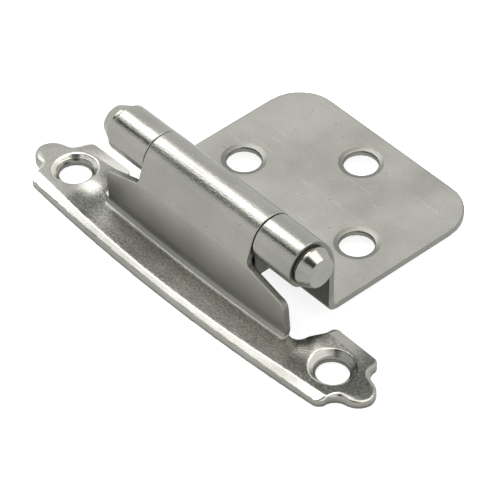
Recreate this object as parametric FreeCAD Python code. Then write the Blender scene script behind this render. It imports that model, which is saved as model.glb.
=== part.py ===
import FreeCAD, Part
import math
import os
from FreeCAD import Vector

# Self-closing overlay cabinet hinge, closed, in millimetres. X runs along
# the pin, Y from the pin towards the door plate, and Z up from the face of
# the cabinet frame: Z = 0 is the plane that the rim of the frame wing sits
# on. All outlines below have Y = 0 at the pin's axis. Each finished piece is
# moved along Y, so that the origin is midway between the frame wing's two
# screws. The hinge is the same at both ends, so most outlines are given for
# +X and mirrored.

# Pin, knuckles and the gaps between them
PIN_HEIGHT = 13.4
PIN_RADIUS = 2.65
RUNNING_GAP = 0.06
KNUCKLE_GAP = 0.15
CENTRE_KNUCKLE_HALF = 11.4
PIN_NECK_RADIUS = 2.35
PIN_NECK_LENGTH = 0.35
PIN_HEAD_RADIUS = 3.1
PIN_HEAD_BAND = 0.5
PIN_TIP_X = 21.65
PIN_END_RADIUS = 2.3
PIN_END_DISH = 0.25
CAM_FLAT_DEPTH = 0.9
CAM_FLAT_HALF = 9.0

# Door wing: plate, wall and two outer knuckles, one folded sheet
DOOR_SHEET = 1.05
PLATE_TOP = 2.4
PLATE_HALF_WIDTH = 19.05
PLATE_FAR_Y = 34.1
PLATE_CORNER_RADIUS = 6.35
PLATE_BEND_RADIUS = 1.55
WALL_BACK_Y = 4.95
WALL_CURVE_RADIUS = 9.0
DOOR_CURL_END = math.radians(310)
CURB_TOP = 6.0
CURB_CORNER_RADIUS = 1.0
PLATE_HOLE_RADIUS = 2.6
PLATE_DIMPLE_RADIUS = 3.4
PLATE_DIMPLE_DEPTH = 0.2
PLATE_HOLES = [(-12.0, 16.0), (12.0, 16.0), (0.0, 28.1)]

# Frame wing: decorative leaf, web and centre knuckle, one folded sheet
FRAME_SHEET = 1.05
WEB_HALF = 18.85
WEB_BULGE_Y = -4.7
WEB_BULGE_Z = 10.25
WEB_BULGE_RADIUS = 6.0
FOLD_RADIUS = 0.9
FOLD_END_Y = -5.0
FOLD_BOW = 0.4
FOLD_OVERLAP = 0.7
EAR_NOTCH_TOP = 11.3
EAR_INNER_Z = 10.2
EAR_SHOULDER = [(17.75, 8.5), (18.55, 7.95), (WEB_HALF, 7.1)]
SPRING_BOX_BOTTOM = 7.35
SPRING_BOX_CORNER = 1.6
SPRING_BOX_LIP_Y = -3.0
TAB_GAP = 0.12
TAB_TOP_DROP = 1.6
TAB_OVERLAP = 0.2

# Decorative leaf: rim edge, bevel and a flat top that curves down over the
# ears. The rim gets lower towards the ears, and the bevel wider.
WING_TOP = 1.9
RIM_HEIGHT = 1.45
RIM_DROP = 0.3
RIM_DROP_X = 29.7
RIM_WALL = 1.2
BEVEL_OVERRUN = 0.02
LEAF_BACK_Y = -5.55
FINIAL_X = 35.25
EAR_BEND_X = 22.0
EAR_BEND_RADIUS = 135.0
EAR_TURN = math.radians(8)
WING_HOLE_X = 27.45
WING_HOLE_Y = -3.1
WING_HOLE_RADIUS = 2.4
WING_DISH_RADIUS = 3.5
WING_DISH_DEPTH = 1.0
DISH_OVERRUN = 0.4
WING_SEAT_WALL = 0.85
WING_SEAT_TOP = 0.95
WING_SEAT_DEPTH = 1.6

# Leaf spring in the box under the pin
SPRING_SHEET = 0.6
SPRING_LOW_Y = -2.5
SPRING_HIGH_Y = 2.1
SPRING_HALF = 9.9
SPRING_TOP_GAP = 0.05

# Leaf outlines from the middle of the front edge to the relief notch beside
# the web. A step of one point is a line to it, and of two is an arc by the
# first to the second.
RIM_FRONT_Y = -10.45
RIM_STEPS = [
    ((29.7, -9.05),),
    ((30.65, -8.55), (31.0, -7.5)),
    ((31.6, -6.35), (32.7, -5.75)),
    ((34.55, -4.75), (FINIAL_X, WING_HOLE_Y)),
    ((34.55, -1.45), (32.7, -0.45)),
    ((31.6, 0.15), (31.0, 1.3)),
    ((30.65, 2.35), (29.7, 2.85)),
    ((22.6, 2.85),),
    ((21.95, 2.6), (21.65, 1.9)),
    ((21.5, 0.0), (21.1, -1.8)),
    ((20.35, -3.3), (WEB_HALF, -3.35)),
    ((WEB_HALF, LEAF_BACK_Y),),
]
RIDGE_FRONT_Y = -9.52
RIDGE_STEPS = [
    ((30.4, -7.4),),
    ((30.9, -7.3), (31.1, -6.95)),
    ((31.2, -6.1), (31.65, -5.35)),
    ((33.0, -4.45), (33.6, -3.1)),
    ((33.0, -1.75), (31.65, -0.85)),
    ((31.4, -0.6), (31.2, -0.3)),
    ((30.9, 0.0), (30.4, 0.0)),
    ((26.5, 0.55), (22.6, 1.0)),
    ((22.35, 0.9), (22.15, 0.7)),
    ((21.55, -0.45), (21.1, -1.8)),
    ((20.35, -3.3), (WEB_HALF, -3.35)),
    ((WEB_HALF, LEAF_BACK_Y),),
]
# The hollow under the leaf is open towards the web.
HOLLOW_FRONT_Y = RIM_FRONT_Y + RIM_WALL
HOLLOW_STEPS = [
    ((29.6, -7.9),),
    ((30.6, -5.9), (32.3, -4.6)),
    ((33.6, -3.9), (34.0, -3.1)),
    ((33.6, -2.3), (32.3, -1.6)),
    ((30.6, -0.3), (29.6, 1.65)),
]

ACROSS = Vector(1, 0, 0)
ORIGIN = Vector(0, 0, 0)
MARGIN = 5.0


def line(a, b):
    return Part.LineSegment(a, b).toShape()


def arc(a, b, c):
    return Part.Arc(a, b, c).toShape()


def polar(radius, angle, y=0.0, z=PIN_HEIGHT, x=0.0):
    """Point on a circle in the YZ plane, by default about the pin's axis."""
    return Vector(x, y + radius * math.cos(angle), z + radius * math.sin(angle))


def curl(radius, start, end, y=0.0, z=PIN_HEIGHT, x=0.0):
    """Arc in the YZ plane, by default about the pin's axis."""
    middle = (start + end) / 2
    return arc(polar(radius, start, y, z, x), polar(radius, middle, y, z, x),
               polar(radius, end, y, z, x))


def solid_between(edges, travel, shift):
    """Face inside the edges, moved by shift and swept by travel."""
    face = Part.Face(Part.Wire(edges))
    face.translate(shift)
    return face.extrude(travel)


def prism(edges, half):
    return solid_between(edges, Vector(2 * half, 0, 0), Vector(-half, 0, 0))


def mirrored(shape):
    return shape.mirror(ORIGIN, ACROSS)


def door_profile():
    """Section of the plate, its bend, the wall and the curl round the pin."""
    inner = PIN_RADIUS
    outer = PIN_RADIUS + DOOR_SHEET
    under = PLATE_TOP - DOOR_SHEET
    back = WALL_BACK_Y
    front = WALL_BACK_Y - DOOR_SHEET
    curve_y = back - WALL_CURVE_RADIUS
    rise = math.sqrt((WALL_CURVE_RADIUS - outer) ** 2 - curve_y ** 2)
    curve_z = PIN_HEIGHT - rise
    meet = math.atan2(rise, -curve_y)
    bend_y = front + PLATE_BEND_RADIUS
    bend_z = under + PLATE_BEND_RADIUS
    inner_bend = PLATE_BEND_RADIUS - DOOR_SHEET
    left, down = math.pi, 1.5 * math.pi

    def point(y, z):
        return Vector(0, y, z)

    return [
        curl(WALL_CURVE_RADIUS - DOOR_SHEET, meet, 0, curve_y, curve_z),
        line(point(front, curve_z), point(front, bend_z)),
        curl(PLATE_BEND_RADIUS, left, down, bend_y, bend_z),
        line(point(bend_y, under), point(PLATE_FAR_Y, under)),
        line(point(PLATE_FAR_Y, under), point(PLATE_FAR_Y, PLATE_TOP)),
        line(point(PLATE_FAR_Y, PLATE_TOP), point(bend_y, PLATE_TOP)),
        curl(inner_bend, down, left, bend_y, bend_z),
        line(point(back, bend_z), point(back, curve_z)),
        curl(WALL_CURVE_RADIUS, 0, meet, curve_y, curve_z),
        curl(outer, meet, DOOR_CURL_END),
        line(polar(outer, DOOR_CURL_END), polar(inner, DOOR_CURL_END)),
        curl(inner, DOOR_CURL_END, meet),
    ]


def knuckle_notch():
    """Room for the centre knuckle, with round corners down at the curb."""
    gap = CENTRE_KNUCKLE_HALF + KNUCKLE_GAP
    box = Part.makeBox(2 * gap, 4 * MARGIN, 6 * MARGIN, Vector(-gap, -2 * MARGIN, CURB_TOP))
    low = [edge for edge in box.Edges
           if abs(edge.CenterOfMass.z - CURB_TOP) < 1e-6 and abs(edge.CenterOfMass.y) < 1e-6]
    return box.makeFillet(CURB_CORNER_RADIUS, low)


def plate_corner():
    """Waste outside one rounded far corner of the plate."""
    radius = PLATE_CORNER_RADIUS
    centre = Vector(PLATE_HALF_WIDTH - radius, PLATE_FAR_Y - radius, 0)
    return Part.makeBox(radius + MARGIN, radius + MARGIN, MARGIN, centre).cut(
        Part.makeCylinder(radius, MARGIN, centre))


def plate_hole(x, y):
    """Through hole with a shallow pressed ring in the plate's top."""
    low = Vector(x, y, PLATE_TOP - PLATE_DIMPLE_DEPTH)
    ring = Part.makeCone(PLATE_HOLE_RADIUS, PLATE_DIMPLE_RADIUS, PLATE_DIMPLE_DEPTH, low)
    return Part.makeCylinder(PLATE_HOLE_RADIUS, MARGIN, Vector(x, y, 0)).fuse(ring)


def door_wing():
    solid = prism(door_profile(), PLATE_HALF_WIDTH).cut(knuckle_notch())
    for waste in (plate_corner(), mirrored(plate_corner())):
        solid = solid.cut(waste)
    for x, y in PLATE_HOLES:
        solid = solid.cut(plate_hole(x, y))
    return solid


def leaf_wire(front_y, steps, height):
    """Closed outline: the front curve, one end, the back and the other end.

    The height is a function of the distance from the middle of the hinge. The
    front curve is a circle's arc in plan, in three stretches.
    """
    def point(xy):
        return Vector(xy[0], xy[1], height(xy[0]))

    def on_front(x):
        rise = corner.y - front_y
        radius = (corner.x ** 2 + rise ** 2) / (2 * rise)
        return point((x, front_y + radius - math.sqrt(radius ** 2 - x ** 2)))

    corner = point(steps[0][0])
    bend = on_front(EAR_BEND_X)
    front = arc(Vector(-bend.x, bend.y, bend.z), point((0, front_y)), bend)
    end = [arc(bend, on_front((bend.x + corner.x) / 2), corner)]
    for step in steps[1:]:
        goal = point(step[-1])
        end.append(arc(corner, point(step[0]), goal) if len(step) == 2 else line(corner, goal))
        corner = goal
    back = line(corner, Vector(-corner.x, corner.y, corner.z))
    return Part.Wire([front] + end + [back] + [mirrored(edge) for edge in reversed(end)])


def level(z):
    return lambda x: z


def rim_height(x):
    return RIM_HEIGHT - RIM_DROP * min(1, (x / RIM_DROP_X) ** 2)


def leaf_top(x):
    """Height of the leaf's top, flat as far as the bend of the ears."""
    beyond = max(0, x - EAR_BEND_X)
    return WING_TOP - EAR_BEND_RADIUS + math.sqrt(EAR_BEND_RADIUS ** 2 - beyond ** 2)


def bevel_height(x):
    """Height of the bevel's inner edge, just above the leaf's top."""
    return leaf_top(x) + BEVEL_OVERRUN


def leaf_prism(front_y, steps, low, high):
    wire = leaf_wire(front_y, steps, level(low))
    return Part.Face(wire).extrude(Vector(0, 0, high - low))


def below_top(depth):
    """Space under the leaf's top, or under the parallel surface at a depth."""
    def point(x, z):
        return Vector(x, -3 * MARGIN, z)

    radius = EAR_BEND_RADIUS - depth
    high = WING_TOP - depth
    bend = [point(EAR_BEND_X + radius * math.sin(angle), high - radius * (1 - math.cos(angle)))
            for angle in (0, EAR_TURN / 2, EAR_TURN)]
    foot = point(bend[2].x, -MARGIN)
    right = [arc(*bend), line(bend[2], foot)]
    top = line(point(-EAR_BEND_X, high), bend[0])
    bottom = line(foot, point(-foot.x, foot.z))
    edges = [top] + right + [bottom] + [mirrored(edge) for edge in reversed(right)]
    return solid_between(edges, Vector(0, 6 * MARGIN, 0), ORIGIN)


def ear_cone(low_radius, low_depth, high_radius, high_depth):
    """Cone between two depths below an ear's top, square to its slope."""
    top = Vector(WING_HOLE_X, WING_HOLE_Y, leaf_top(WING_HOLE_X))
    cone = Part.makeCone(low_radius, high_radius, low_depth - high_depth, top - Vector(0, 0, low_depth))
    slope = math.asin((WING_HOLE_X - EAR_BEND_X) / EAR_BEND_RADIUS)
    cone.rotate(top, Vector(0, 1, 0), math.degrees(slope))
    return cone


def decorative_leaf():
    """Rim edge, bevelled top and formed screw seats, hollow underneath."""
    leaf = Part.makeLoft([leaf_wire(RIM_FRONT_Y, RIM_STEPS, level(0)),
                          leaf_wire(RIM_FRONT_Y, RIM_STEPS, rim_height),
                          leaf_wire(RIDGE_FRONT_Y, RIDGE_STEPS, bevel_height),
                          leaf_wire(RIDGE_FRONT_Y, RIDGE_STEPS, level(MARGIN))], True, True)
    hollow = leaf_prism(HOLLOW_FRONT_Y, HOLLOW_STEPS, -MARGIN, WING_TOP)
    leaf = leaf.common(below_top(0)).cut(hollow.common(below_top(FRAME_SHEET)))
    flare = (WING_DISH_RADIUS - WING_HOLE_RADIUS) / WING_DISH_DEPTH
    dish = ear_cone(WING_HOLE_RADIUS - flare * DISH_OVERRUN, WING_DISH_DEPTH + DISH_OVERRUN,
                    WING_DISH_RADIUS + flare, -1)
    seat = ear_cone(WING_HOLE_RADIUS + WING_SEAT_WALL, WING_SEAT_DEPTH,
                    WING_DISH_RADIUS + WING_SEAT_WALL, WING_SEAT_TOP)
    seat = seat.cut(Part.makeBox(8 * MARGIN, 8 * MARGIN, MARGIN, Vector(0, -4 * MARGIN, -MARGIN)))
    hole = Part.makeCylinder(WING_HOLE_RADIUS, 2 * MARGIN, Vector(WING_HOLE_X, WING_HOLE_Y, -MARGIN))
    for turn in (Part.Shape.copy, mirrored):
        leaf = leaf.fuse(turn(seat)).cut(turn(dish)).cut(turn(hole))
    return leaf


def web_section(x):
    """Section of the fold, the web and its turn into the centre knuckle at x.

    The fold bows forward in the middle of the hinge. The web is the line that
    touches the fold's circle in front and the bulge's circle behind.
    """
    fold_y = FOLD_END_Y - FOLD_BOW * (1 - (x / WEB_HALF) ** 2)
    fold_z = WING_TOP + FOLD_RADIUS
    bulge_y = WEB_BULGE_Y + WEB_BULGE_RADIUS
    bulge_z = WEB_BULGE_Z
    ring = PIN_RADIUS + RUNNING_GAP + FRAME_SHEET
    reach = math.hypot(bulge_y - fold_y, bulge_z - fold_z)
    lean = (math.atan2(bulge_z - fold_z, bulge_y - fold_y)
            - math.acos((FOLD_RADIUS + WEB_BULGE_RADIUS) / reach))
    start = knuckle_start()
    down = -math.pi / 2
    sheet = FRAME_SHEET
    faces = []
    for fold, bulge, knuckle in ((FOLD_RADIUS, WEB_BULGE_RADIUS, ring),
                                 (FOLD_RADIUS + sheet, WEB_BULGE_RADIUS - sheet, ring - sheet)):
        foot = polar(fold, down, fold_y, fold_z, x)
        faces.append([
            line(foot - Vector(0, FOLD_OVERLAP, 0), foot),
            curl(fold, down, lean, fold_y, fold_z, x),
            line(polar(fold, lean, fold_y, fold_z, x),
                 polar(bulge, lean + math.pi, bulge_y, bulge_z, x)),
            curl(bulge, lean + math.pi, start, bulge_y, bulge_z, x),
            line(polar(bulge, start, bulge_y, bulge_z, x), polar(knuckle, start, x=x)),
        ])
    front, back = faces
    top = line(polar(ring, start, x=x), polar(ring - sheet, start, x=x))
    foot = line(back[0].firstVertex().Point, front[0].firstVertex().Point)
    return Part.Wire(front + [top] + back[::-1] + [foot])


def knuckle_start():
    """Angle at which the web, past its bulge, touches the centre knuckle."""
    ring = PIN_RADIUS + RUNNING_GAP + FRAME_SHEET
    bulge_y = WEB_BULGE_Y + WEB_BULGE_RADIUS
    apart = math.hypot(bulge_y, PIN_HEIGHT - WEB_BULGE_Z)
    return (math.atan2(PIN_HEIGHT - WEB_BULGE_Z, -bulge_y)
            + math.acos((WEB_BULGE_RADIUS - ring) / apart))


def web_outline():
    """Room for the web, whose shoulders slope down from the centre knuckle."""
    def point(x, z):
        return Vector(x, -MARGIN * 2, z)

    knuckle = CENTRE_KNUCKLE_HALF
    rounding = math.sqrt(0.5)
    notch = EAR_NOTCH_TOP - EAR_INNER_Z
    shoulder = [point(x, z) for x, z in EAR_SHOULDER]
    right = [
        line(point(knuckle, PIN_HEIGHT + MARGIN), point(knuckle, EAR_NOTCH_TOP)),
        arc(point(knuckle, EAR_NOTCH_TOP),
            point(knuckle + notch * (1 - rounding), EAR_NOTCH_TOP - notch * rounding),
            point(knuckle + notch, EAR_INNER_Z)),
        line(point(knuckle + notch, EAR_INNER_Z), shoulder[0]),
        arc(*shoulder),
        line(shoulder[2], point(WEB_HALF, 0)),
    ]
    foot = line(point(WEB_HALF, 0), point(-WEB_HALF, 0))
    top = line(point(-knuckle, PIN_HEIGHT + MARGIN), point(knuckle, PIN_HEIGHT + MARGIN))
    edges = [top] + right + [foot] + [mirrored(edge) for edge in reversed(right)]
    return solid_between(edges, Vector(0, MARGIN * 4, 0), ORIGIN)


def spring_box():
    """Centre knuckle that goes on round the box for the leaf spring."""
    inner = PIN_RADIUS + RUNNING_GAP
    outer = inner + FRAME_SHEET
    bottom = SPRING_BOX_BOTTOM
    corner = SPRING_BOX_CORNER
    corner_y = outer - corner
    corner_z = bottom + corner
    start = knuckle_start()
    down = -math.pi / 2

    def point(y, z):
        return Vector(0, y, z)

    profile = [
        curl(outer, start, 0),
        line(point(outer, PIN_HEIGHT), point(outer, corner_z)),
        curl(corner, 0, down, corner_y, corner_z),
        line(point(corner_y, bottom), point(SPRING_BOX_LIP_Y, bottom)),
        line(point(SPRING_BOX_LIP_Y, bottom), point(SPRING_BOX_LIP_Y, bottom + FRAME_SHEET)),
        line(point(SPRING_BOX_LIP_Y, bottom + FRAME_SHEET), point(corner_y, bottom + FRAME_SHEET)),
        curl(corner - FRAME_SHEET, down, 0, corner_y, corner_z),
        line(point(inner, corner_z), point(inner, PIN_HEIGHT)),
        curl(inner, 0, start),
        line(polar(inner, start), polar(outer, start)),
    ]
    box = prism(profile, CENTRE_KNUCKLE_HALF)
    tab = end_tab(inner)
    return box.fuse(tab).fuse(mirrored(tab))


def end_tab(inner):
    """Tab folded up from the bottom of the box, hollowed round the pin."""
    low = SPRING_BOX_BOTTOM + FRAME_SHEET - TAB_OVERLAP
    high = PIN_HEIGHT - TAB_TOP_DROP
    plate = Part.makeBox(FRAME_SHEET, inner - TAB_GAP - SPRING_BOX_LIP_Y, high - low,
                         Vector(CENTRE_KNUCKLE_HALF - FRAME_SHEET, SPRING_BOX_LIP_Y, low))
    return plate.cut(Part.makeCylinder(PIN_RADIUS + TAB_GAP, 4 * WEB_HALF,
                                       Vector(0, 0, PIN_HEIGHT), Vector(1, 0, 0)))


def frame_wing():
    stations = [WEB_HALF * step / 2 for step in (-2, -1, 0, 1, 2)]
    web = Part.makeLoft([web_section(x) for x in stations], True, False)
    upright = web.common(web_outline())
    return decorative_leaf().fuse(upright).fuse(spring_box()).removeSplitter()


def hinge_pin():
    """Turned pin, headed at both ends, with a flat in the middle for the spring."""
    shoulder = PLATE_HALF_WIDTH
    neck = shoulder + PIN_NECK_LENGTH
    half = [(0, 0), (0, PIN_RADIUS), (shoulder, PIN_RADIUS), (shoulder, PIN_NECK_RADIUS),
            (neck, PIN_NECK_RADIUS), (neck, PIN_HEAD_RADIUS), (neck + PIN_HEAD_BAND, PIN_HEAD_RADIUS),
            (PIN_TIP_X, PIN_END_RADIUS), (PIN_TIP_X - PIN_END_DISH, 0), (0, 0)]
    outline = Part.makePolygon([Vector(x, 0, PIN_HEIGHT + radius) for x, radius in half])
    right = Part.Face(outline).revolve(Vector(0, 0, PIN_HEIGHT), Vector(1, 0, 0), 360)
    pin = right.fuse(mirrored(right)).removeSplitter()
    flat_z = PIN_HEIGHT - PIN_RADIUS + CAM_FLAT_DEPTH
    return pin.cut(Part.makeBox(2 * CAM_FLAT_HALF, 4 * PIN_RADIUS, MARGIN,
                                Vector(-CAM_FLAT_HALF, -2 * PIN_RADIUS, flat_z - MARGIN)))


def closing_spring():
    """Bowed strip that stands on the bottom of the box and bears on the pin's flat."""
    top = PIN_HEIGHT - PIN_RADIUS + CAM_FLAT_DEPTH - SPRING_TOP_GAP
    foot = SPRING_BOX_BOTTOM + FRAME_SHEET
    rise = top - SPRING_SHEET - foot
    radius = (SPRING_HALF ** 2 + rise ** 2) / (2 * rise)
    centre_z = foot + rise - radius
    sweep = math.asin(SPRING_HALF / radius)

    def point(distance, angle):
        return Vector(distance * math.sin(angle), 0, centre_z + distance * math.cos(angle))

    outer = radius + SPRING_SHEET
    edges = [
        arc(point(radius, -sweep), point(radius, 0), point(radius, sweep)),
        line(point(radius, sweep), point(outer, sweep)),
        arc(point(outer, sweep), point(outer, 0), point(outer, -sweep)),
        line(point(outer, -sweep), point(radius, -sweep)),
    ]
    return solid_between(edges, Vector(0, SPRING_HIGH_Y - SPRING_LOW_Y, 0),
                         Vector(0, SPRING_LOW_Y, 0))


def main():
    os.makedirs("parts", exist_ok=True)
    pieces = {
        "door_wing": door_wing(),
        "frame_wing": frame_wing(),
        "hinge_pin": hinge_pin(),
        "closing_spring": closing_spring(),
    }
    for name, shape in pieces.items():
        shape.translate(Vector(0, -WING_HOLE_Y, 0))
        shape.exportStep("parts/" + name + ".step")
        print(name, len(shape.Solids), "solid", round(shape.Volume, 1), "mm3", shape.isValid())


main()
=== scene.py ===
"""Looks of a self-closing overlay cabinet hinge in satin nickel.

Each piece is a fine mesh with worn edges, made from its own solid. Sizes are
in millimetres unless a name says otherwise, and MM turns them into the
scene's metres. X runs along the pin, Y from the frame wing to the door's
plate, and Z out of the cabinet's face.
"""

import math
from typing import NamedTuple

import bpy
from mathutils import Matrix, Vector


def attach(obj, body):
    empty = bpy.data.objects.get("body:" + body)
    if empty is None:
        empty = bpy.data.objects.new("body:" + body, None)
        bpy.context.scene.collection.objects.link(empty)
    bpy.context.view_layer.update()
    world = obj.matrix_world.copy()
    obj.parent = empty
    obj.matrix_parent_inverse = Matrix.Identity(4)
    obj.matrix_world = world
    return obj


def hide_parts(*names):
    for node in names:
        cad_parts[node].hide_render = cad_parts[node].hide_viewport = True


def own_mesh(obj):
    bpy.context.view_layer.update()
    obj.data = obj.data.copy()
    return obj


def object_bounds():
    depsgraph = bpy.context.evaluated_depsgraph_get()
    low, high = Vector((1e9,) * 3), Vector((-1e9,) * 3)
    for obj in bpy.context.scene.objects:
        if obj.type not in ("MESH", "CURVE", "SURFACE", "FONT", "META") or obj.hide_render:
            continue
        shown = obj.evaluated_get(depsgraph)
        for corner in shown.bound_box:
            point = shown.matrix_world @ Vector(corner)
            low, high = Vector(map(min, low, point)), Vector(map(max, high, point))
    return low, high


MM = 0.001
WHITE = (1.0, 1.0, 1.0, 1.0)

# Camera, at the photograph's viewing angle
CAMERA_AZIMUTH = math.radians(47.91)
CAMERA_ELEVATION = math.radians(43.48)
CAMERA_DISTANCE = 564.2
CAMERA_TARGET = (4.94, 4.97, 5.0)
CAMERA_NEAREST = 10.0
CAMERA_FARTHEST = 10000.0
SENSOR_WIDTH = 36.0
FOCAL_LENGTH = 288.1

# Floor and world
FLOOR_DROP = 0.1
FLOOR_SIZE = 4000.0
FLOOR_PAINT = 0.85
FLOOR_GLOW = 0.8
FLOOR_GLOW_IN_METAL = 0.2
SKY = 0.55

# Middles of the bright and dark stripes along the metal, as angles round the pin from +Y to +Z
KNUCKLE_GLOW = math.radians(106.127)
KNUCKLE_SHADE = math.radians(125.627)
TIP_GLOW = math.radians(95)
TIP_SHADE = math.radians(119)

# Half the angle of the pin's cone ends
TIP_SLOPE = math.radians(24.6)

# Leaf's rim: its height in the middle, and its fall towards the ends
RIM_TOP = 1.45
RIM_FALL = 0.3
RIM_END_X = 29.7

# Ears: their limits, the screw seats, and the rounds that smooth the seats and the noses
EAR_FROM_X = 18.0
EAR_HEIGHT = 4.0
SEAT_X = 27.45
SEAT_ROUNDS = 6
NOSE_ROUNDS = 24

# Swells where the fold runs out into the ears
SWELL_X = 22.2
SWELL_Y = 0.5
SWELL_HEIGHT = 0.45
SWELL_SPREAD_X = 2.4
SWELL_SPREAD_Y = 1.9

# Spans over which the ears' form comes in: where it starts, and where it is complete
LIFT_FROM_Z = (0.3, 1.2)
LIFT_TO_Z = (3.8, 2.6)
SOFT_FROM_Z = (0.25, 0.6)
SOFT_SEAT_REACH = (5.0, 4.2)
SOFT_NOSE_X = (30.2, 32.0)

# Spans of height over which a finish comes in, and with it any painted light and shade
DOOR_RISE = (2.4, 5.4)
DOOR_CUT_RISE = (3.0, 5.0)
BELOW_PLATE_TOP = (2.8, 2.5)
ABOVE_PLATE = (1.6, 3.0)
BELOW_PIN = (10.0, 8.0)
KNUCKLE_TOP = (14.0, 15.5)
BY_LEAF_TOP = (3.0, 2.4)
UNDER_LEAF_TOP = (2.1, 1.95)
IN_SEAT = (1.95, 1.75)
OVER_RIM = (-0.02, 0.05)
RIM_FOOT = (0.7, 0.2)
FOLD_HEIGHT = (3.2, 2.6)
WEB_RISE = (2.4, 4.2)
WEB_HEAD = (9.5, 11.0)
WING_CUT_RISE = (3.4, 4.4)
SHOULDER_TOP = (11.6, 10.8)

# The same, along X
BEVEL_END_X = (32.0, 30.8)
BACK_RIGHT_X = (20.0, 23.0)
FOLD_END_X = (20.4, 19.6)
RIDGE_END_X = (21.0, 19.0)
LEFT_EAR_X = (-16.0, -20.0)
LEFT_END_X = (-22.5, -24.5)
RIGHT_EAR_X = (24.0, 29.0)
RIGHT_NOSE_X = (29.5, 31.5)
SWELL_INSIDE_X = (20.4, 22.4)
SWELL_OUTSIDE_X = (25.4, 23.4)

# The same, along Y and round the screws
PAST_BEND_Y = (8.5, 9.0)
BACK_RIGHT_Y = (1.0, 2.5)
BEHIND_BEVEL_Y = (-3.7, -3.2)
RIDGE_Y = (-4.2, -5.6)
SWELL_FRONT_Y = (-3.6, -1.6)
SWELL_BACK_Y = (2.4, 0.4)
SEAT_REACH = (4.0, 3.7)

# The same, by a share of the surface's direction: up, along Y or along X
LEVEL = (0.95, 0.985)
OFF_LEVEL = (0.998, 0.985)
OFF_UPRIGHT = (0.1, 0.3)
STEEP = (0.6, 0.4)
BEVEL_SLOPE = (0.15, 0.45)
SEAT_SLOPE = (0.95, 0.8)
TO_FRONT = (-0.6, -0.85)
EDGEWAYS = (0.45, 0.25)
ENDWAYS = (0.6, 0.85)

# Tone of the leaf's top, and the painted shade and painted highlight that its places add to it
LEAF_TONE = 0.97
EARS_PAINTED_SHADE = -0.57
LEFT_END_PAINTED_SHADE = -0.1
RIGHT_NOSE_PAINTED_SHADE = -0.1
RIDGE_PAINTED_SHADE = -0.2
SWELL_PAINTED_HIGHLIGHT = 0.7

# Share of the bevel's brightening, its polish and painted highlight, that is taken away
BACK_RIGHT_HIGHLIGHT_LOSS = 0.9
BY_FOLD_HIGHLIGHT_LOSS = 0.85

# Darkening that the wing's cut edges add, partly painted shade in the gaps, and how much of it the
# mottle takes back
CUT_DARKENING_AND_SHADE = -0.85
CUT_MOTTLE = 0.9

# Patterns: features per millimetre, the noise's detail and harshness, and how far each
# changes the tone or the roughness
GRAIN_DETAIL = 3.0
GRAIN_HARSHNESS = 0.6
CLOUD_PER_MM = 0.22
CLOUD_TONE = 0.08
CLOUD_ROUGHNESS = 0.05
HAZE_PER_MM = 0.08
HAZE_TONE = 0.35
MOTTLE_PER_MM = 2.6
MOTTLE_DETAIL = 3.0
MOTTLE_HARSHNESS = 0.7
MOTTLE_TONE = 2.6
MOTTLE_CALMED = 2.0

# Hairline scratches: features per millimetre along each axis, turn and depth against the grain
SCRATCH_PER_MM = (0.12, 5.0, 5.0)
SCRATCH_TURN = (0.3, 0.2, 0.55)
SCRATCH_DETAIL = 1.0
SCRATCH_SPAN = (0.72, 0.76)
SCRATCH_DEPTH = 0.6

# Plain greys
WING_GREY = 0.36
PIN_GREY = 0.38
SPRING_GREY = 0.3

# Rounds of smoothing that wear the edges of every piece
WEAR_ROUNDS = 2


class Specks(NamedTuple):
    """Small dots: cells to the millimetre, radius in cells, strength and grey level."""
    per_mm: float
    radius: float
    strength: float
    level: float


class Finish(NamedTuple):
    """Roughness, tone against the plain nickel, and how strongly the grain stands out."""
    rough: float = 0.0
    tone: float = 0.0
    relief: float = 0.0


LIGHT_SPECKS = Specks(per_mm=1.7, radius=0.17, strength=0.45, level=0.75)
DARK_SPECKS = Specks(per_mm=0.7, radius=0.13, strength=0.5, level=0.06)

# A cell's own random number, from where it has a dot to where the dot is strongest
HAS_DOT = (0.5, 1.0)

DOOR_PLAIN = Finish(rough=0.32, tone=1.03, relief=1.0)
WING_PLAIN = Finish(rough=0.22, tone=1.0, relief=1.0)
PIN_FINISH = Finish(rough=0.2, tone=1.0, relief=1.0)
SPRING_FINISH = Finish(rough=0.3, tone=1.0, relief=1.0)


def link(obj):
    bpy.context.scene.collection.objects.link(obj)
    return obj


# Nodes

def add(tree, kind, inputs=None, **settings):
    """New node with its settings made and its inputs set or linked."""
    made = tree.nodes.new(kind)
    for key, value in settings.items():
        setattr(made, key, value)
    for key, value in (inputs or {}).items():
        if isinstance(value, bpy.types.NodeSocket):
            tree.links.new(value, made.inputs[key])
        else:
            made.inputs[key].default_value = value
    return made


def calc(tree, operation, a, b=0.0, c=0.0):
    return add(tree, "ShaderNodeMath", {0: a, 1: b, 2: c}, operation=operation).outputs[0]


def chain(tree, operation, *values):
    """The values joined by one operation, from left to right."""
    made = values[0]
    for value in values[1:]:
        made = calc(tree, operation, made, value)
    return made


def shifted(tree, value, *shifts):
    """The value plus each amount, as far as the mask beside it says."""
    for mask, amount in shifts:
        value = calc(tree, "MULTIPLY_ADD", mask, amount, value)
    return value


def swing(tree, pattern, amount):
    """A pattern from 0 to 1 turned into a change from -amount to amount."""
    return calc(tree, "MULTIPLY_ADD", pattern, 2 * amount, -amount)


def fade(tree, value, span):
    """0 to 1 as the value goes smoothly from the span's start to its end."""
    made = add(tree, "ShaderNodeMapRange", {"Value": value, "From Min": span[0], "From Max": span[1],
                                            "To Min": 0.0, "To Max": 1.0},
               interpolation_type="SMOOTHSTEP")
    return made.outputs["Result"]


def mix(tree, factor, a, b):
    made = add(tree, "ShaderNodeMix", data_type="RGBA")
    for key, value in (("Factor_Float", factor), ("A_Color", a), ("B_Color", b)):
        socket = next(s for s in made.inputs if s.identifier == key)
        if isinstance(value, bpy.types.NodeSocket):
            tree.links.new(value, socket)
        else:
            socket.default_value = value
    return next(s for s in made.outputs if s.identifier == "Result_Color")


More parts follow.
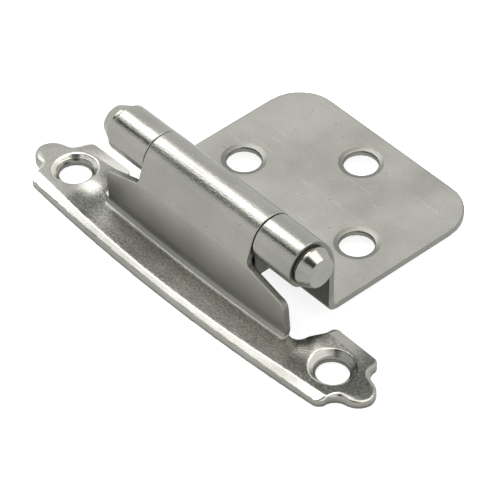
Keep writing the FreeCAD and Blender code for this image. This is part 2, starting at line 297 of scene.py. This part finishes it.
def in_millimetres(tree, scale=(1.0, 1.0, 1.0), turn=(0.0, 0.0, 0.0)):
    """Object coordinates in millimetres, stretched and turned."""
    place = add(tree, "ShaderNodeTexCoord").outputs["Object"]
    made = add(tree, "ShaderNodeMapping", {"Vector": place, "Rotation": turn,
                                           "Scale": [s / MM for s in scale]})
    return made.outputs["Vector"]


def noise(tree, per_mm, detail=2.0, harshness=0.5, vector=None):
    vector = vector or in_millimetres(tree)
    made = add(tree, "ShaderNodeTexNoise", {"Vector": vector, "Scale": per_mm, "Detail": detail,
                                            "Roughness": harshness})
    return made.outputs["Fac"]


def dots(tree, specks):
    """Mask of scattered small dots, stronger in some places than in others."""
    cells = add(tree, "ShaderNodeTexVoronoi", {"Vector": in_millimetres(tree), "Scale": specks.per_mm})
    dot = fade(tree, cells.outputs["Distance"], (specks.radius, specks.radius / 2))
    pick = add(tree, "ShaderNodeSeparateColor", {0: cells.outputs["Color"]}).outputs[0]
    return chain(tree, "MULTIPLY", dot, fade(tree, pick, HAS_DOT), specks.strength)


class Spot:
    """The surface's place in the object in millimetres, and its direction, as sockets."""

    def __init__(self, tree):
        place = add(tree, "ShaderNodeSeparateXYZ", {0: in_millimetres(tree)}).outputs
        normal = add(tree, "ShaderNodeTexCoord").outputs["Normal"]
        way = add(tree, "ShaderNodeSeparateXYZ", {0: normal}).outputs
        self.x = place["X"]
        self.y = place["Y"]
        self.z = place["Z"]
        self.endways = calc(tree, "ABSOLUTE", way["X"])
        self.along_y = way["Y"]
        self.up = way["Z"]


# Materials

def new_material(name):
    material = bpy.data.materials.new(name)
    material.use_nodes = True
    tree = material.node_tree
    tree.nodes.clear()
    return material, tree


def grey(level, warmth=0.095):
    """Linear colour of a slightly warm grey."""
    return (level, level * (1 - warmth * 0.1), level * (1 - warmth), 1.0)


def nickel(name, base, grain_depth, grain_per_mm, variation, finish):
    """Plated steel: fine grain, cloudy tone, pinprick specks and hairline scratches.

    The finish is a function of the node tree that gives a Finish; for the door and the wing its tone
    also carries painted light and shade.
    """
    material, tree = new_material(name)
    rough, tone, relief = finish(tree)
    grain = noise(tree, grain_per_mm, GRAIN_DETAIL, GRAIN_HARSHNESS)
    cloud = noise(tree, CLOUD_PER_MM)
    haze = noise(tree, HAZE_PER_MM)
    shade = chain(tree, "ADD", 1.0, swing(tree, grain, variation), swing(tree, cloud, CLOUD_TONE),
                  swing(tree, haze, HAZE_TONE))
    shade = calc(tree, "MULTIPLY", shade, tone)
    colour = add(tree, "ShaderNodeVectorMath", {0: base[:3], "Scale": shade},
                 operation="SCALE").outputs[0]
    for specks in (LIGHT_SPECKS, DARK_SPECKS):
        colour = mix(tree, dots(tree, specks), colour, grey(specks.level))
    lines = noise(tree, 1.0, SCRATCH_DETAIL, vector=in_millimetres(tree, SCRATCH_PER_MM, SCRATCH_TURN))
    height = shifted(tree, calc(tree, "MULTIPLY", grain, relief),
                     (fade(tree, lines, SCRATCH_SPAN), -SCRATCH_DEPTH))
    bump = add(tree, "ShaderNodeBump", {"Height": height, "Strength": 1.0,
                                        "Distance": grain_depth * MM})
    roughness = calc(tree, "ADD", rough, swing(tree, cloud, CLOUD_ROUGHNESS))
    shader = add(tree, "ShaderNodeBsdfPrincipled",
                 {"Base Color": colour, "Metallic": 1.0, "Roughness": roughness,
                  "Normal": bump.outputs[0]})
    add(tree, "ShaderNodeOutputMaterial", {"Surface": shader.outputs[0]}, is_active_output=True)
    return material


def blended(tree, plain, *places):
    """The plain finish plus each place's own change, as far as the place's mask says."""
    values = list(plain)
    for mask, change in places:
        for index, amount in enumerate(change):
            if amount != 0:
                values[index] = shifted(tree, values[index], (mask, amount))
    return Finish(*values)


def door_finish_and_painted_shade(tree):
    """Satin plate whose sloped edges are darkened as painted shade, bright knuckles above it, painted
    shade on the inner wall, and rougher cut edges whose darkening is partly painted shade.
    """
    spot = Spot(tree)
    # Painted shade: the plate's sloped faces below its top are darkened.
    plate_edge_shade = chain(tree, "MULTIPLY", fade(tree, spot.z, BELOW_PLATE_TOP),
                       fade(tree, spot.y, PAST_BEND_Y), fade(tree, spot.up, OFF_LEVEL),
                       fade(tree, spot.up, OFF_UPRIGHT))
    # Painted shade on the wall's front face, below the pin.
    inner_wall_shade = chain(tree, "MULTIPLY", fade(tree, spot.along_y, TO_FRONT),
                       fade(tree, spot.z, BELOW_PIN), fade(tree, spot.z, ABOVE_PLATE))
    # Cut edges: rougher, and darker partly as painted shade in the gaps between knuckles.
    cut_edge_dull_and_shaded = chain(tree, "MULTIPLY", fade(tree, spot.endways, ENDWAYS),
                     fade(tree, spot.z, DOOR_CUT_RISE))
    return blended(tree, DOOR_PLAIN,
                   (fade(tree, spot.z, DOOR_RISE), Finish(rough=-0.12)),
                   (fade(tree, spot.z, KNUCKLE_TOP), Finish(relief=1.0)),
                   (plate_edge_shade, Finish(tone=-0.42)),
                   (inner_wall_shade, Finish(tone=-0.6)),
                   (cut_edge_dull_and_shaded, Finish(rough=0.2, tone=-0.25)))


def leaf_top_tone_and_painted_light(tree, spot, side, mottle):
    """Mottled tone, with painted shade that darkens the ears, the ridge, the right nose and the left
    end, a painted highlight on the swells, and a more even mottle at the left end.
    """
    left_end = fade(tree, spot.x, LEFT_END_X)
    left_ear = calc(tree, "SUBTRACT", fade(tree, spot.x, LEFT_EAR_X), left_end)
    ears = calc(tree, "MAXIMUM", left_ear, fade(tree, spot.x, RIGHT_EAR_X))
    ridge = chain(tree, "MULTIPLY", fade(tree, spot.y, RIDGE_Y), fade(tree, side, RIDGE_END_X))
    # Swell mask: where a painted highlight brightens the leaf's top and its mottle is calmed.
    swell = chain(tree, "MULTIPLY", fade(tree, side, SWELL_INSIDE_X), fade(tree, side, SWELL_OUTSIDE_X),
                  fade(tree, spot.y, SWELL_FRONT_Y), fade(tree, spot.y, SWELL_BACK_Y))
    # Painted shade darkens the ears, the left end, the ridge and the right nose; a painted highlight
    # brightens the swells.
    tone = shifted(tree, LEAF_TONE, (ears, EARS_PAINTED_SHADE), (left_end, LEFT_END_PAINTED_SHADE), (ridge, RIDGE_PAINTED_SHADE),
                   (fade(tree, spot.x, RIGHT_NOSE_X), RIGHT_NOSE_PAINTED_SHADE), (swell, SWELL_PAINTED_HIGHLIGHT))
    calm = calc(tree, "MAXIMUM", left_end, swell)
    patchy = shifted(tree, MOTTLE_TONE, (calm, -MOTTLE_CALMED))
    patches = calc(tree, "MULTIPLY", calc(tree, "SUBTRACT", mottle, 0.5), patchy)
    return calc(tree, "MULTIPLY_ADD", tone, patches, tone)


def bevel_polish_and_highlight_mask(tree, spot, side, sloped, by_fold):
    """1 on the bevel round the leaf, which polish and a painted highlight brighten, fainter at the back
    of the right ear and by the fold.
    """
    outwards = calc(tree, "POWER", calc(tree, "DIVIDE", side, RIM_END_X), 2.0)
    over_rim = shifted(tree, calc(tree, "SUBTRACT", spot.z, RIM_TOP), (outwards, RIM_FALL))
    back_right = chain(tree, "MULTIPLY", fade(tree, spot.x, BACK_RIGHT_X),
                       fade(tree, spot.y, BACK_RIGHT_Y))
    return chain(tree, "MULTIPLY", fade(tree, over_rim, OVER_RIM), fade(tree, spot.z, UNDER_LEAF_TOP),
                 fade(tree, spot.up, BEVEL_SLOPE), sloped, fade(tree, side, BEVEL_END_X),
                 shifted(tree, 1.0, (back_right, -BACK_RIGHT_HIGHLIGHT_LOSS)),
                 shifted(tree, 1.0, (by_fold, -BY_FOLD_HIGHLIGHT_LOSS)))


def seat_shade_mask(tree, spot, side, sloped):
    """1 on the dish round each screw hole of the ears, which is darkened as painted shade."""
    along = calc(tree, "SUBTRACT", side, SEAT_X)
    square = calc(tree, "MULTIPLY_ADD", along, along, calc(tree, "MULTIPLY", spot.y, spot.y))
    away = calc(tree, "SQRT", square)
    return chain(tree, "MULTIPLY", sloped, fade(tree, spot.up, SEAT_SLOPE), fade(tree, spot.z, IN_SEAT),
                 fade(tree, away, SEAT_REACH))


def wing_finish_and_painted_light(tree):
    """Dull mottled leaf with painted shade and painted highlights by place, a polished bevel brightened
    partly as a painted highlight, painted shade in the seats, the fold and the rim's foot, a satin web
    lightened as painted light, dark cut edges partly painted shade, and a bright knuckle.
    """
    spot = Spot(tree)
    side = calc(tree, "ABSOLUTE", spot.x)
    mottle = noise(tree, MOTTLE_PER_MM, MOTTLE_DETAIL, MOTTLE_HARSHNESS)
    level = fade(tree, spot.up, LEVEL)
    sloped = calc(tree, "SUBTRACT", 1.0, level)
    leaf_top = calc(tree, "MULTIPLY", level, fade(tree, spot.z, BY_LEAF_TOP))
    # Change of the leaf top's tone, holding its painted shade and painted highlight.
    top_change_and_painted_light = calc(tree, "SUBTRACT", leaf_top_tone_and_painted_light(tree, spot, side, mottle), 1.0)
    by_fold = chain(tree, "MULTIPLY", fade(tree, side, FOLD_END_X),
                    fade(tree, spot.y, BEHIND_BEVEL_Y))
    # Painted shade in the crease of the fold between the web and the leaf; the crease is also rougher.
    fold = chain(tree, "MULTIPLY", by_fold, sloped, fade(tree, spot.z, FOLD_HEIGHT))
    shoulder = chain(tree, "MULTIPLY", fade(tree, calc(tree, "ABSOLUTE", spot.along_y), EDGEWAYS),
                     fade(tree, spot.z, SHOULDER_TOP))
    # Cut edges: rougher, and darker partly as painted shade in the gaps between knuckles.
    cut_edge_dull_and_shaded = chain(tree, "MULTIPLY",
                     calc(tree, "MAXIMUM", shoulder, fade(tree, spot.endways, ENDWAYS)),
                     fade(tree, spot.z, WING_CUT_RISE))
    cut_darkening_and_shade = shifted(tree, CUT_DARKENING_AND_SHADE, (mottle, CUT_MOTTLE))
    # Painted shade along the foot of the rim, by the cabinet's face.
    rim_foot_shade = chain(tree, "MULTIPLY", fade(tree, spot.z, RIM_FOOT), fade(tree, spot.up, STEEP))
    return blended(tree, WING_PLAIN,
                   (leaf_top, Finish(rough=0.06, tone=top_change_and_painted_light, relief=0.6)),
                   # Bevel brightened: polished metal, and partly a painted highlight.
                   (bevel_polish_and_highlight_mask(tree, spot, side, sloped, by_fold), Finish(tone=1.0, relief=-1.0)),
                   # Painted shade in the screw seats.
                   (seat_shade_mask(tree, spot, side, sloped), Finish(tone=-0.25)),
                   (rim_foot_shade, Finish(tone=-0.4)),
                   (fold, Finish(rough=0.2, tone=-0.25)),
                   # Painted light: the web's tone is raised, and lowered again on the knuckle above;
                   # the roughness changes are the satin web and the smoother knuckle.
                   (fade(tree, spot.z, WEB_RISE), Finish(rough=0.16, tone=0.17)),
                   (fade(tree, spot.z, WEB_HEAD), Finish(rough=-0.15, tone=-0.15)),
                   (cut_edge_dull_and_shaded, Finish(rough=0.12, tone=cut_darkening_and_shade)),
                   (fade(tree, spot.z, KNUCKLE_TOP), Finish(relief=1.2)))


# Pieces

def applied(piece):
    """Turns the piece's modifiers into its mesh."""
    evaluated = piece.evaluated_get(bpy.context.evaluated_depsgraph_get())
    shape = bpy.data.meshes.new_from_object(evaluated)
    piece.modifiers.clear()
    piece.data = shape


def worn(piece, rounds, group=""):
    """Smooths the piece, or only its group of points."""
    wear = piece.modifiers.new("worn_edges", "SMOOTH")
    wear.factor = 0.5
    wear.iterations = rounds
    wear.vertex_group = group


def smooth_step(value, span):
    """0 to 1 as the value goes smoothly from the span's start to its end."""
    share = min(1.0, max(0.0, (value - span[0]) / (span[1] - span[0])))
    return share * share * (3 - 2 * share)


def shape_ears(piece):
    """Presses the ears' form: a swell where the fold runs out, soft seats and rounded noses."""
    seats = piece.vertex_groups.new(name="seats")
    noses = piece.vertex_groups.new(name="noses")
    for vertex in piece.data.vertices:
        x, y, z = vertex.co / MM
        x = abs(x)
        if x < EAR_FROM_X or z > EAR_HEIGHT:
            continue
        near = math.exp(-((x - SWELL_X) / SWELL_SPREAD_X) ** 2 - ((y - SWELL_Y) / SWELL_SPREAD_Y) ** 2)
        lift = smooth_step(z, LIFT_FROM_Z) * smooth_step(z, LIFT_TO_Z)
        vertex.co.z += SWELL_HEIGHT * near * lift * MM
        soft = smooth_step(z, SOFT_FROM_Z)
        away = math.hypot(x - SEAT_X, y)
        seats.add([vertex.index], soft * smooth_step(away, SOFT_SEAT_REACH), "REPLACE")
        noses.add([vertex.index], soft * smooth_step(x, SOFT_NOSE_X), "REPLACE")
    worn(piece, SEAT_ROUNDS, "seats")
    worn(piece, NOSE_ROUNDS, "noses")
    applied(piece)
    piece.vertex_groups.clear()


def dressed(node, name, body, material, facet, keep=1.0, pressed=None):
    """Piece with the node's form in even facets, worn edges, and a share of its facets kept."""
    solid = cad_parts[node]
    data = solid.data.copy()
    data.materials.clear()
    data.materials.append(material)
    piece = link(bpy.data.objects.new(name, data))
    fine = piece.modifiers.new("fine_facets", "REMESH")
    fine.mode = "VOXEL"
    fine.voxel_size = facet * MM
    fine.use_smooth_shade = True
    fitted = piece.modifiers.new("onto_the_solid", "SHRINKWRAP")
    fitted.target = solid
    fitted.wrap_method = "NEAREST_SURFACEPOINT"
    worn(piece, WEAR_ROUNDS)
    applied(piece)
    if pressed:
        pressed(piece)
    if keep < 1:
        fewer = piece.modifiers.new("fewer_facets", "DECIMATE")
        fewer.ratio = keep
        applied(piece)
    piece.data.name = name
    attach(piece, body)
    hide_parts(node)
    return piece


# Stage

def camera_way():
    """Unit vector from the object towards the camera; azimuth 0 is in front."""
    level = math.cos(CAMERA_ELEVATION)
    return Vector((level * math.sin(CAMERA_AZIMUTH), -level * math.cos(CAMERA_AZIMUTH),
                   math.sin(CAMERA_ELEVATION)))


def background_glow(tree, seen, mirrored, lit=0.0):
    """Strength for rays from the camera, for mirrors and glass, and for other rays."""
    path = add(tree, "ShaderNodeLightPath").outputs
    mirror = calc(tree, "MAXIMUM", path["Is Glossy Ray"], path["Is Transmission Ray"])
    glow = calc(tree, "MULTIPLY_ADD", mirror, mirrored - lit, lit)
    return calc(tree, "MULTIPLY_ADD", path["Is Camera Ray"], seen - lit, glow)


def rectangle(name, x, y, z=0.0):
    """Object of one face that reaches x and y to each side of the middle, in metres."""
    data = bpy.data.meshes.new(name)
    data.from_pydata([(-x, -y, z), (x, -y, z), (x, y, z), (-x, y, z)], [], [(0, 1, 2, 3)])
    return link(bpy.data.objects.new(name, data))


def make_floor():
    reach = FLOOR_SIZE * MM / 2
    floor = rectangle("floor", reach, reach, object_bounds()[0].z - FLOOR_DROP * MM)
    material, tree = new_material("floor_white")
    paint = add(tree, "ShaderNodeBsdfDiffuse", {"Color": (FLOOR_PAINT, FLOOR_PAINT, FLOOR_PAINT, 1.0)})
    strength = background_glow(tree, FLOOR_GLOW, FLOOR_GLOW_IN_METAL)
    glow = add(tree, "ShaderNodeEmission", {"Color": WHITE, "Strength": strength})
    both = add(tree, "ShaderNodeAddShader", {0: paint.outputs[0], 1: glow.outputs[0]})
    add(tree, "ShaderNodeOutputMaterial", {"Surface": both.outputs[0]})
    floor.data.materials.append(material)


def make_world():
    world = bpy.data.worlds.new("white_room")
    world.use_nodes = True
    bpy.context.scene.world = world
    tree = world.node_tree
    tree.nodes.clear()
    strength = background_glow(tree, 1.0, 1.0, SKY)
    sky = add(tree, "ShaderNodeBackground", {"Color": WHITE, "Strength": strength})
    add(tree, "ShaderNodeOutputWorld", {"Surface": sky.outputs[0]})


def mirror_way(angle, slope=0.0):
    """Way in which metal mirrors the camera where its normal has this angle round the pin.

    On a cone end the normal also leans by the slope towards +X.
    """
    normal = Vector((math.sin(slope), math.cos(slope) * math.cos(angle),
                     math.cos(slope) * math.sin(angle)))
    camera = camera_way()
    return 2 * normal.dot(camera) * normal - camera


def hang(obj, way, distance):
    """Puts a panel at a distance from the object, facing it, its length along the hinge."""
    along = (Vector((1, 0, 0)) - way * way.x).normalized()
    across = way.cross(along)
    place = Matrix.Translation((Vector(CAMERA_TARGET) + way * distance) * MM)
    obj.matrix_world = place @ Matrix((along, across, way)).transposed().to_4x4()


def soft_box(name, way, distance, length, width, radiance):
    """Area light that shows as a panel of the given radiance."""
    lamp = bpy.data.lights.new(name, "AREA")
    lamp.shape = "RECTANGLE"
    lamp.size = length * MM
    lamp.size_y = width * MM
    lamp.energy = radiance * math.pi * lamp.size * lamp.size_y
    hang(link(bpy.data.objects.new(name, lamp)), way, distance)


def card(name, way, distance, length, width, level):
    """Card that only shows in the metal's gloss."""
    obj = rectangle(name, length * MM / 2, width * MM / 2)
    hang(obj, way, distance)
    material, tree = new_material(name)
    glow = add(tree, "ShaderNodeEmission", {"Color": grey(level), "Strength": 1.0})
    add(tree, "ShaderNodeOutputMaterial", {"Surface": glow.outputs[0]})
    obj.data.materials.append(material)
    for ray in ("camera", "diffuse", "shadow", "transmission", "volume_scatter"):
        setattr(obj, "visible_" + ray, False)


def make_lights():
    """One lamp, and cards that give the knuckles and the right cone end their stripes."""
    soft_box("overhead_box", mirror_way(KNUCKLE_GLOW),
             distance=500, length=520, width=250, radiance=2.7)
    card("dark_card", mirror_way(KNUCKLE_SHADE), distance=480, length=420, width=110, level=0.02)
    card("tip_glow", mirror_way(TIP_GLOW, TIP_SLOPE),
         distance=500, length=240, width=420, level=3.4)
    card("tip_dark", mirror_way(TIP_SHADE, TIP_SLOPE),
         distance=480, length=240, width=300, level=0.02)


def make_camera():
    data = bpy.data.cameras.new("camera")
    data.sensor_width = SENSOR_WIDTH
    data.lens = FOCAL_LENGTH
    data.clip_start = CAMERA_NEAREST * MM
    data.clip_end = CAMERA_FARTHEST * MM
    camera = link(bpy.data.objects.new("camera", data))
    camera.location = (Vector(CAMERA_TARGET) + camera_way() * CAMERA_DISTANCE) * MM
    camera.rotation_mode = "QUATERNION"
    camera.rotation_quaternion = (-camera_way()).to_track_quat("-Z", "Y")
    bpy.context.scene.camera = camera


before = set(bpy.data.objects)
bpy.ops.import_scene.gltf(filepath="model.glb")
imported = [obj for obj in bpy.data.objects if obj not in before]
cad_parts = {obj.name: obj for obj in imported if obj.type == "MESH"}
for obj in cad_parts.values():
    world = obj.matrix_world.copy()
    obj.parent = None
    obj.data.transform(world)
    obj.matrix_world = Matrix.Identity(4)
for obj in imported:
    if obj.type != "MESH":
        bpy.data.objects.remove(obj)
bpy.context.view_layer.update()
bpy.context.scene.view_settings.view_transform = "Standard"

door_nickel = nickel("door_nickel", grey(WING_GREY), grain_depth=0.012, grain_per_mm=3.0,
                     variation=0.12, finish=door_finish_and_painted_shade)
wing_nickel = nickel("wing_nickel", grey(WING_GREY), grain_depth=0.018, grain_per_mm=3.4,
                     variation=0.07, finish=wing_finish_and_painted_light)
pin_nickel = nickel("pin_nickel", grey(PIN_GREY), grain_depth=0.01, grain_per_mm=3.0,
                    variation=0.05, finish=lambda tree: PIN_FINISH)
spring_steel = nickel("spring_steel", grey(SPRING_GREY), grain_depth=0.003, grain_per_mm=2.5,
                      variation=0.06, finish=lambda tree: SPRING_FINISH)

dressed("door_wing", "door_plate_and_knuckles", "door", door_nickel,
        facet=0.17, keep=0.6)
dressed("frame_wing", "decorative_wing", "frame", wing_nickel,
        facet=0.14, keep=0.5, pressed=shape_ears)
dressed("hinge_pin", "headed_pin", "door", pin_nickel, facet=0.14)
spring = dressed("closing_spring", "leaf_spring", "frame", spring_steel, facet=0.15)
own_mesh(spring)

make_floor()
make_world()
make_lights()
make_camera()
